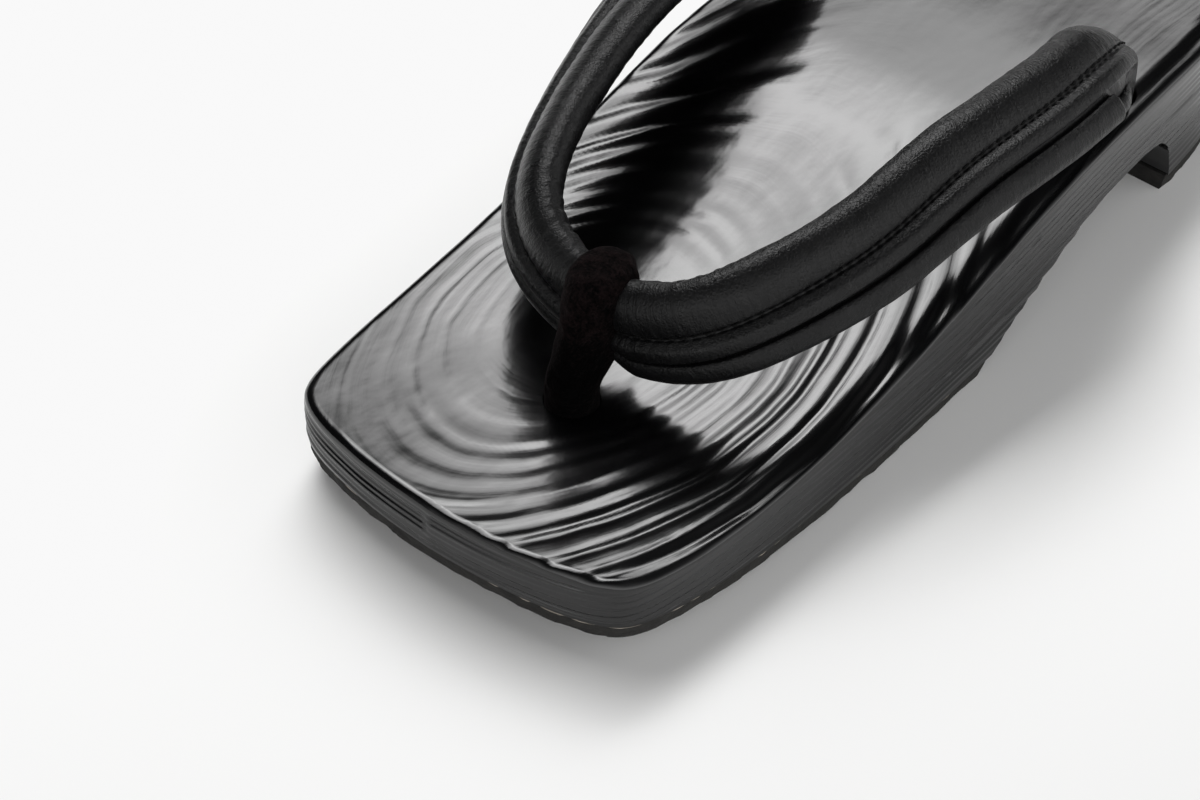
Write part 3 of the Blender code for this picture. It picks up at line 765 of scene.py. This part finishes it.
def clamped_spline(points, start, end, at):
    """Places along a cubic spline with the end speeds given; at runs from 0 to 1."""
    points = np.asarray(points, float)
    last = len(points) - 1
    speed = np.zeros_like(points)
    matrix = np.eye(last + 1)
    speed[0] = np.asarray(start) / last
    speed[last] = np.asarray(end) / last
    for i in range(1, last):
        matrix[i, i - 1] = 1
        matrix[i, i] = 4
        matrix[i, i + 1] = 1
        speed[i] = 3 * (points[i + 1] - points[i - 1])
    speed = np.linalg.solve(matrix, speed)
    at = at * last
    i = np.clip(at.astype(int), 0, last - 1)
    t = (at - i)[:, None]
    place = (2 * t**3 - 3 * t**2 + 1) * points[i] + (3 * t**2 - 2 * t**3) * points[i + 1]
    place += (t**3 - 2 * t**2 + t) * speed[i] + (t**3 - t**2) * speed[i + 1]
    rate = (6 * t**2 - 6 * t) * (points[i] - points[i + 1])
    rate += (3 * t**2 - 4 * t + 1) * speed[i] + (3 * t**2 - 2 * t) * speed[i + 1]
    return place, rate / np.linalg.norm(rate, axis=1)[:, None]


def natural_spline(y, at):
    """Cubic spline through values at even shares, its ends free."""
    y = np.asarray(y, float)
    count = len(y)
    step = 1 / (count - 1)
    matrix = np.eye(count)
    right = np.zeros(count)
    for i in range(1, count - 1):
        matrix[i, i - 1: i + 2] = (1, 4, 1)
        right[i] = 6 * (y[i + 1] - 2 * y[i] + y[i - 1]) / step**2
    bend = np.linalg.solve(matrix, right)
    i = np.clip((at / step).astype(int), 0, count - 2)
    b = at / step - i
    a = 1 - b
    value = a * y[i] + b * y[i + 1]
    return value + ((a**3 - a) * bend[i] + (b**3 - b) * bend[i + 1]) * step**2 / 6


def strap_frames(count):
    """Middle, outward and upward directions at even steps of one strap's length, its share and its length."""
    at = np.linspace(0, 1, 600)
    place, ahead = clamped_spline(STRAP_LINE, (165, 0, 0), (0, 0, -165), at)
    turn = np.radians(natural_spline(STRAP_TURN, at))
    outward = np.zeros_like(ahead)
    carried = np.array([0.0, -1.0, 0.0])
    for k in range(len(at)):
        carried = carried - (carried @ ahead[k]) * ahead[k]
        carried = carried / np.linalg.norm(carried)
        outward[k] = carried
    upward = np.cross(outward, ahead)
    cos, sin = np.cos(turn)[:, None], np.sin(turn)[:, None]
    out, up = cos * outward - sin * upward, cos * upward + sin * outward
    run = np.r_[0.0, np.cumsum(np.linalg.norm(np.diff(place, axis=0), axis=1))]
    even = np.linspace(0, run[-1], count)

    def pick(values):
        return np.stack([np.interp(even, run, values[:, i]) for i in range(values.shape[1])], 1)

    return pick(place), pick(out), pick(up), np.interp(even, run, at), even


def section_ring(count):
    """The strap's section at even shares round its rim, as shares of its half sizes, and the seam's share."""
    table = np.array(STRAP_SECTION)
    n = len(table)
    at = np.arange(count) * n / count
    i = at.astype(int)
    t = (at - i)[:, None]
    p0, p1, p2, p3 = table[(i - 1) % n], table[i % n], table[(i + 1) % n], table[(i + 2) % n]
    a = 2 * p1
    b = p2 - p0
    c = 2 * p0 - 5 * p1 + 4 * p2 - p3
    d = -p0 + 3 * p1 - 3 * p2 + p3
    return 0.5 * (a + b * t + c * t**2 + d * t**3), at


def strap_surface(count, around, grow=0.0, detail=True):
    """Points of one strap's skin, ring by ring from the middle of the front to the plug in its hole."""
    place, out, up, share, run = strap_frames(count)
    section, at = section_ring(around)
    section = section * [STRAP_THICKNESS / 2, STRAP_HEIGHT / 2]
    angle = 2 * math.pi * at / len(STRAP_SECTION)
    circle = STRAP_END_RADIUS * np.stack([np.sin(angle), np.cos(angle)], 1)
    rings = []
    for k in range(count):
        pinch = float(ease(share[k] / 0.055))
        squeeze = np.array([0.86 + 0.14 * pinch, 0.70 + 0.30 * pinch])
        rounding = float(ease((share[k] - 0.80) / 0.13))
        flat = (1 - rounding) * section * squeeze + rounding * circle
        edge = np.roll(flat, -1, axis=0) - np.roll(flat, 1, axis=0)
        edge /= np.linalg.norm(edge, axis=1)[:, None]
        normal = np.stack([-edge[:, 1], edge[:, 0]], 1)
        push = np.full(around, float(grow))
        if detail:
            push = push + strap_detail(run[k], share[k], at, 1 - rounding)
        flat = flat + normal * push[:, None]
        rings.append(place[k] + flat[:, :1] * out[k] + flat[:, 1:] * up[k])
    return np.array(rings), run, at


def strap_detail(run, share, at, weight):
    """How far the skin stands off the plain section: seam, groove, stitch puckers and cross wrinkles."""
    first = FIRST_STITCH + STITCH_LENGTH / 2
    beat = math.cos(2 * math.pi * (run - first) / STITCH_PITCH)
    seam = (0.42 + 0.22 * beat) * np.exp(-((at - SEAM_AT) / 0.34) ** 2)
    groove = 1.25 * np.exp(-((at - LOWER_GROOVE_AT) / 0.62) ** 2)
    puckers = 0.085 * np.exp(-((at - 5.1) / 0.7) ** 2) + 0.05 * np.exp(-((at - 7.0) / 0.6) ** 2)
    push = beat * puckers - seam - groove
    run_all = np.full_like(at, run)
    wrinkle = noise(21, run_all / 1.5 + 0.35 * at, at / 2.6)
    wrinkle = wrinkle + 0.4 * noise(22, run_all / 1.2 + 0.3 * at, at / 1.8)
    points = len(STRAP_SECTION)
    inner = np.exp(-(((at + 2.0 + points / 2) % points - points / 2) / 3.2) ** 2)
    bend = math.exp(-((run - 22) / 16.0) ** 2) + 0.5 * math.exp(-((run - 150) / 14.0) ** 2)
    push = push + wrinkle * (0.035 + inner * (0.05 + 0.13 * bend))
    push = push + 0.16 * noise(23, run_all / 13.0, at / 4.0)
    lobe = float(ease((share - LOBE_END) / 0.022)) * ease((at - 10.6) / 1.2) * ease((18.5 - at) / 3.0)
    return (push - LOBE_DEPTH * lobe) * weight


def mirrored(rings):
    """The right strap's rings with the left strap's before them, end to end."""
    return np.concatenate([rings[1:][::-1] * [-1, 1, 1], rings])


def strap_piece(material):
    """Both straps as one padded piece, joined under the thong."""
    around = 112
    rings, run, _ = strap_surface(390, around)
    plug = rings[-1].copy()
    plug[:, 2] = PLUG_BOTTOM
    rings = mirrored(np.concatenate([rings, plug[None]]))
    run = np.r_[run, run[-1] + 9.0]
    along = np.r_[-run[1:][::-1], run]
    straps = link("straps_padded", rings.reshape(-1, 3), tube_faces(len(rings), around), material)
    mesh = straps.data
    loops = loop_points(mesh)
    column = loops % around
    polygon = np.repeat(np.arange(len(mesh.polygons)), [p.loop_total for p in mesh.polygons])
    wraps = (polygon % around == around - 1) & (column == 0)
    girth = np.where(wraps, STRAP_GIRTH, column / around * STRAP_GIRTH)
    set_uv(mesh, along[loops // around] * MM, girth * MM)
    return straps


def stitch_points(distance, run, line, normal, face):
    """One stitch of thread that arches out of the seam and back, thin at both ends."""
    points = []
    for ring in range(STITCH_RINGS):
        t = ring / (STITCH_RINGS - 1)
        at = distance + STITCH_LENGTH * t
        centre, out, across = (np.array([np.interp(at, run, rows[:, i]) for i in range(3)])
                               for rows in (line, normal, face))
        hump = math.sin(math.pi * t)
        radius = 0.27 * (0.35 + 0.65 * hump**0.5)
        centre = centre + out * (0.02 + 0.12 * hump) + across * 0.10 * math.sin(2 * math.pi * t)
        for k in range(STITCH_SIDES):
            turn = 2 * math.pi * k / STITCH_SIDES
            points.append(centre + radius * (math.cos(turn) * out + math.sin(turn) * across))
    return points


def stitches_piece(material):
    """Thread stitches lying in the seam of both straps."""
    around = 560
    rings, run, _ = strap_surface(1400, around, detail=False)
    column = int(around * THREAD_AT / len(STRAP_SECTION))
    line = rings[:, column]
    face = unit(rings[:, column + 4] - rings[:, column - 4])
    normal = np.cross(face, unit(np.gradient(line, axis=0)))
    normal *= np.sign(np.einsum("ij,ij->i", normal, line - rings.mean(axis=1)))[:, None]
    last = (STITCH_RINGS - 1) * STITCH_SIDES
    shape = band_faces(STITCH_RINGS, STITCH_SIDES)
    shape += [tuple(range(STITCH_SIDES))[::-1], tuple(range(last, last + STITCH_SIDES))]
    verts = []
    faces = []
    distance = FIRST_STITCH
    while distance < run[-1] * LAST_STITCH:
        base = len(verts)
        verts += stitch_points(distance, run, line, normal, face)
        faces += [tuple(base + i for i in corners) for corners in shape]
        distance += STITCH_PITCH
    count = len(verts)
    verts = np.array(verts)
    verts = np.concatenate([verts, verts * [-1, 1, 1]])
    faces += [tuple(i + count for i in corners[::-1]) for corners in faces]
    return link("strap_stitches", verts, faces, material)


def thong_piece(material):
    """The velvet thong: stem in the block, opening into the loop round the straps."""
    rings, around = 74, 72
    table = np.array(THONG_RINGS)
    run = np.r_[0.0, np.cumsum(np.hypot(np.diff(table[:, 0]), np.diff(table[:, 1])))]
    at = np.linspace(0, run[-1], rings)
    rows = [monotone(np.stack([run, table[:, i]], 1), at) for i in range(4)]
    turn = np.arange(around) * 2 * math.pi / around
    verts = []
    for height, front, back, half in zip(*rows):
        x = half * np.cos(turn)
        y = (back - front) / 2 * np.sin(turn)
        fold = 0.22 * noise(31, turn * 3.0, height / 5.0) + 0.16 * noise(32, x / 2.0, height / 2.4)
        push = 1 + float(ease((height - 22) / 4)) * fold / 7.0
        verts += list(zip(x * push, (front + back) / 2 + y * push, np.full(around, height)))
    last = (rings - 1) * around
    verts.append(tuple(np.mean(verts[:around], axis=0)))
    verts.append(tuple(np.mean(verts[last: last + around], axis=0)))
    low, high = rings * around, rings * around + 1
    faces = band_faces(rings, around)
    for i in range(around):
        j = (i + 1) % around
        faces.append((low, j, i))
        faces.append((high, last + i, last + j))
    thong = link("thong_loop", verts, faces, material)
    around = 56
    passage = mirrored(strap_surface(60, around, grow=0.35, detail=False)[0][:20])
    cut(thong, link("passage_cutter", passage.reshape(-1, 3), tube_faces(len(passage), around), None))
    shade(thong, 55)
    return thong


def floor_piece():
    """The pale floor, wide enough to reach past every view."""
    material, _, shader = new_material("floor_white")
    set_values(shader, Roughness=0.9)
    shader.inputs["Base Color"].default_value = (0.86, 0.86, 0.855, 1.0)
    shader.inputs["Specular IOR Level"].default_value = 0.1
    reach = 6000
    corners = [(-reach, -reach, 0), (reach, -reach, 0), (reach, reach, 0), (-reach, reach, 0)]
    return link("floor", corners, [(0, 1, 2, 3)], material)


def toward(azimuth, elevation, distance):
    """A place seen from the sandal at the azimuth and elevation, in degrees, and at the distance."""
    azimuth, elevation = math.radians(azimuth), math.radians(elevation)
    level = math.cos(elevation)
    direction = Vector((level * math.cos(azimuth), level * math.sin(azimuth), math.sin(elevation)))
    return Vector(LIT_MIDDLE) + distance * direction


def area_light(name, place, size, power):
    """A rectangular light that is aimed at the sandal."""
    data = bpy.data.lights.new(name, "AREA")
    data.shape = "RECTANGLE"
    data.size, data.size_y = size
    data.energy = power
    item = bpy.data.objects.new(name, data)
    bpy.context.scene.collection.objects.link(item)
    item.location = place
    item.rotation_euler = (Vector(LIT_MIDDLE) - place).to_track_quat("-Z", "Y").to_euler()
    return item


def grey(*stops):
    """Stops of a colour ramp from pairs of place and brightness."""
    return [(place, (level, level, level)) for place, level in stops]


def soften(light):
    """Lets the light fall off towards its edges, the most towards the lower one."""
    light.data.use_nodes = True
    tree = light.data.node_tree
    place = tree.nodes.new("ShaderNodeSeparateXYZ")
    tree.links.new(tree.nodes.new("ShaderNodeNewGeometry").outputs["Parametric"], place.inputs[0])
    rise = ramp(tree, place.outputs["Y"],
                grey((0.0, 0.0), (0.10, 0.10), (0.145, 0.19), (0.20, 0.34), (0.30, 0.44), (0.36, 0.60),
                     (0.44, 0.96), (0.50, 1.0), (0.56, 0.72), (0.66, 0.58), (1.0, 0.3)))
    lean = math_node(tree, "MULTIPLY", math_node(tree, "SUBTRACT", place.outputs["Y"], 0.5), 0.77)
    off_middle = math_node(tree, "SUBTRACT", math_node(tree, "SUBTRACT", place.outputs["X"], 0.5), lean)
    across = math_node(tree, "ABSOLUTE", off_middle, 0.0)
    fall = ramp(tree, across,
                grey((0.0, 1.0), (0.15, 0.95), (0.20, 0.70), (0.26, 0.30), (0.32, 0.05), (0.37, 0.0)))
    tree.links.new(math_node(tree, "MULTIPLY", rise, fall), tree.nodes["Emission"].inputs["Strength"])


def studio_world():
    """A pale wall on the right that lights the room, dimmer towards the ceiling."""
    world = bpy.data.worlds.new("studio")
    world.use_nodes = True
    tree = world.node_tree
    direction = tree.nodes.new("ShaderNodeTexCoord").outputs["Generated"]
    facing = tree.nodes.new("ShaderNodeVectorMath")
    facing.operation = "DOT_PRODUCT"
    facing.inputs[1].default_value = (0.95, -0.31, 0.0)
    tree.links.new(direction, facing.inputs[0])
    height = tree.nodes.new("ShaderNodeSeparateXYZ")
    tree.links.new(direction, height.inputs[0])
    wall = ramp(tree, map_range(tree, facing.outputs["Value"], -1.0, 1.0, 0.0, 1.0),
                grey((0.36, 0.02), (0.52, 0.42), (0.66, 1.0)))
    ceiling = ramp(tree, height.outputs["Z"],
                   grey((0.0, 1.0), (0.30, 0.85), (0.50, 0.55), (0.70, 0.25), (0.92, 0.03)))
    power = math_node(tree, "MULTIPLY", math_node(tree, "MULTIPLY", wall, ceiling), WORLD_POWER)
    tree.links.new(power, tree.nodes["Background"].inputs["Strength"])
    tree.nodes["Background"].inputs["Color"].default_value = (1.0, 1.0, 1.0, 1.0)
    return world


def photo_camera():
    """The camera at the photograph's viewing angle."""
    turn, rise, roll = (math.radians(angle) for angle in (CAMERA_TURN, CAMERA_RISE, CAMERA_ROLL))
    look = -Vector((math.sin(turn) * math.cos(rise), -math.cos(turn) * math.cos(rise), math.sin(rise)))
    right = Vector((math.cos(turn), math.sin(turn), 0.0))
    up = right.cross(look)
    data = bpy.data.cameras.new("camera")
    data.sensor_width = SENSOR_WIDTH
    data.lens = FOCAL_PIXELS * SENSOR_WIDTH / PHOTO_WIDTH
    data.clip_start = 0.01
    camera = bpy.data.objects.new("camera", data)
    bpy.context.scene.collection.objects.link(camera)
    rolled_right = math.cos(roll) * right + math.sin(roll) * up
    rolled_up = -math.sin(roll) * right + math.cos(roll) * up
    axes = Matrix((rolled_right, rolled_up, -look)).transposed().to_4x4()
    camera.matrix_world = Matrix.Translation(Vector(CAMERA_AIM) - look * CAMERA_DISTANCE) @ axes
    return camera


def set_view(view):
    """The standard view, with a curve that keeps the bright floor just below white."""
    view.view_transform = "Standard"
    view.look = "None"
    view.exposure = 0.0
    view.use_curve_mapping = True
    curves = view.curve_mapping
    curves.extend = "HORIZONTAL"
    combined = curves.curves[3]
    combined.points[1].location = (1.0, 0.945)
    for low, high in ((0.30, 0.30), (0.60, 0.60), (0.85, 0.84)):
        combined.points.new(low, high)
    curves.update()


black_lacquer = lacquer()
black_leather = leather()
black_velvet = velvet()
black_rubber = rubber()
thread = plain("stitch_thread_black", (0.0015, 0.0015, 0.0015), 0.9, 2600.0, 0.00008)
thread.node_tree.nodes["Principled BSDF"].inputs["Specular IOR Level"].default_value = 0.12
glue = plain("glue_pale", (0.34, 0.30, 0.25), 0.7, 700.0, 0.0001)

deck = deck_piece(black_lacquer)
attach(deck, "root")
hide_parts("deck")

for name, start, end, slant, end_slant, seed in SHEETS:
    sheet = sole_piece(name + "_sheet", start, end, slant, end_slant, black_rubber, seed)
    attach(sheet, "root")
    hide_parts(name)
    glue_start = start + (2.5 if slant else 0.0)
    line = glue_piece(name + "_glue", glue_start, end - 0.5, slant, end_slant, glue, seed + 9)
    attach(line, "root")

straps = strap_piece(black_leather)
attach(straps, "root")
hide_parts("straps")

stitches = stitches_piece(thread)
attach(stitches, "root")

thong = thong_piece(black_velvet)
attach(thong, "root")
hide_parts("front_thong")

floor = floor_piece()
soften(area_light("softbox_back_left", toward(141, 55, 0.95), SOFTBOX_SIZE, SOFTBOX_POWER))
bpy.context.scene.world = studio_world()
bpy.context.scene.camera = photo_camera()
set_view(bpy.context.scene.view_settings)
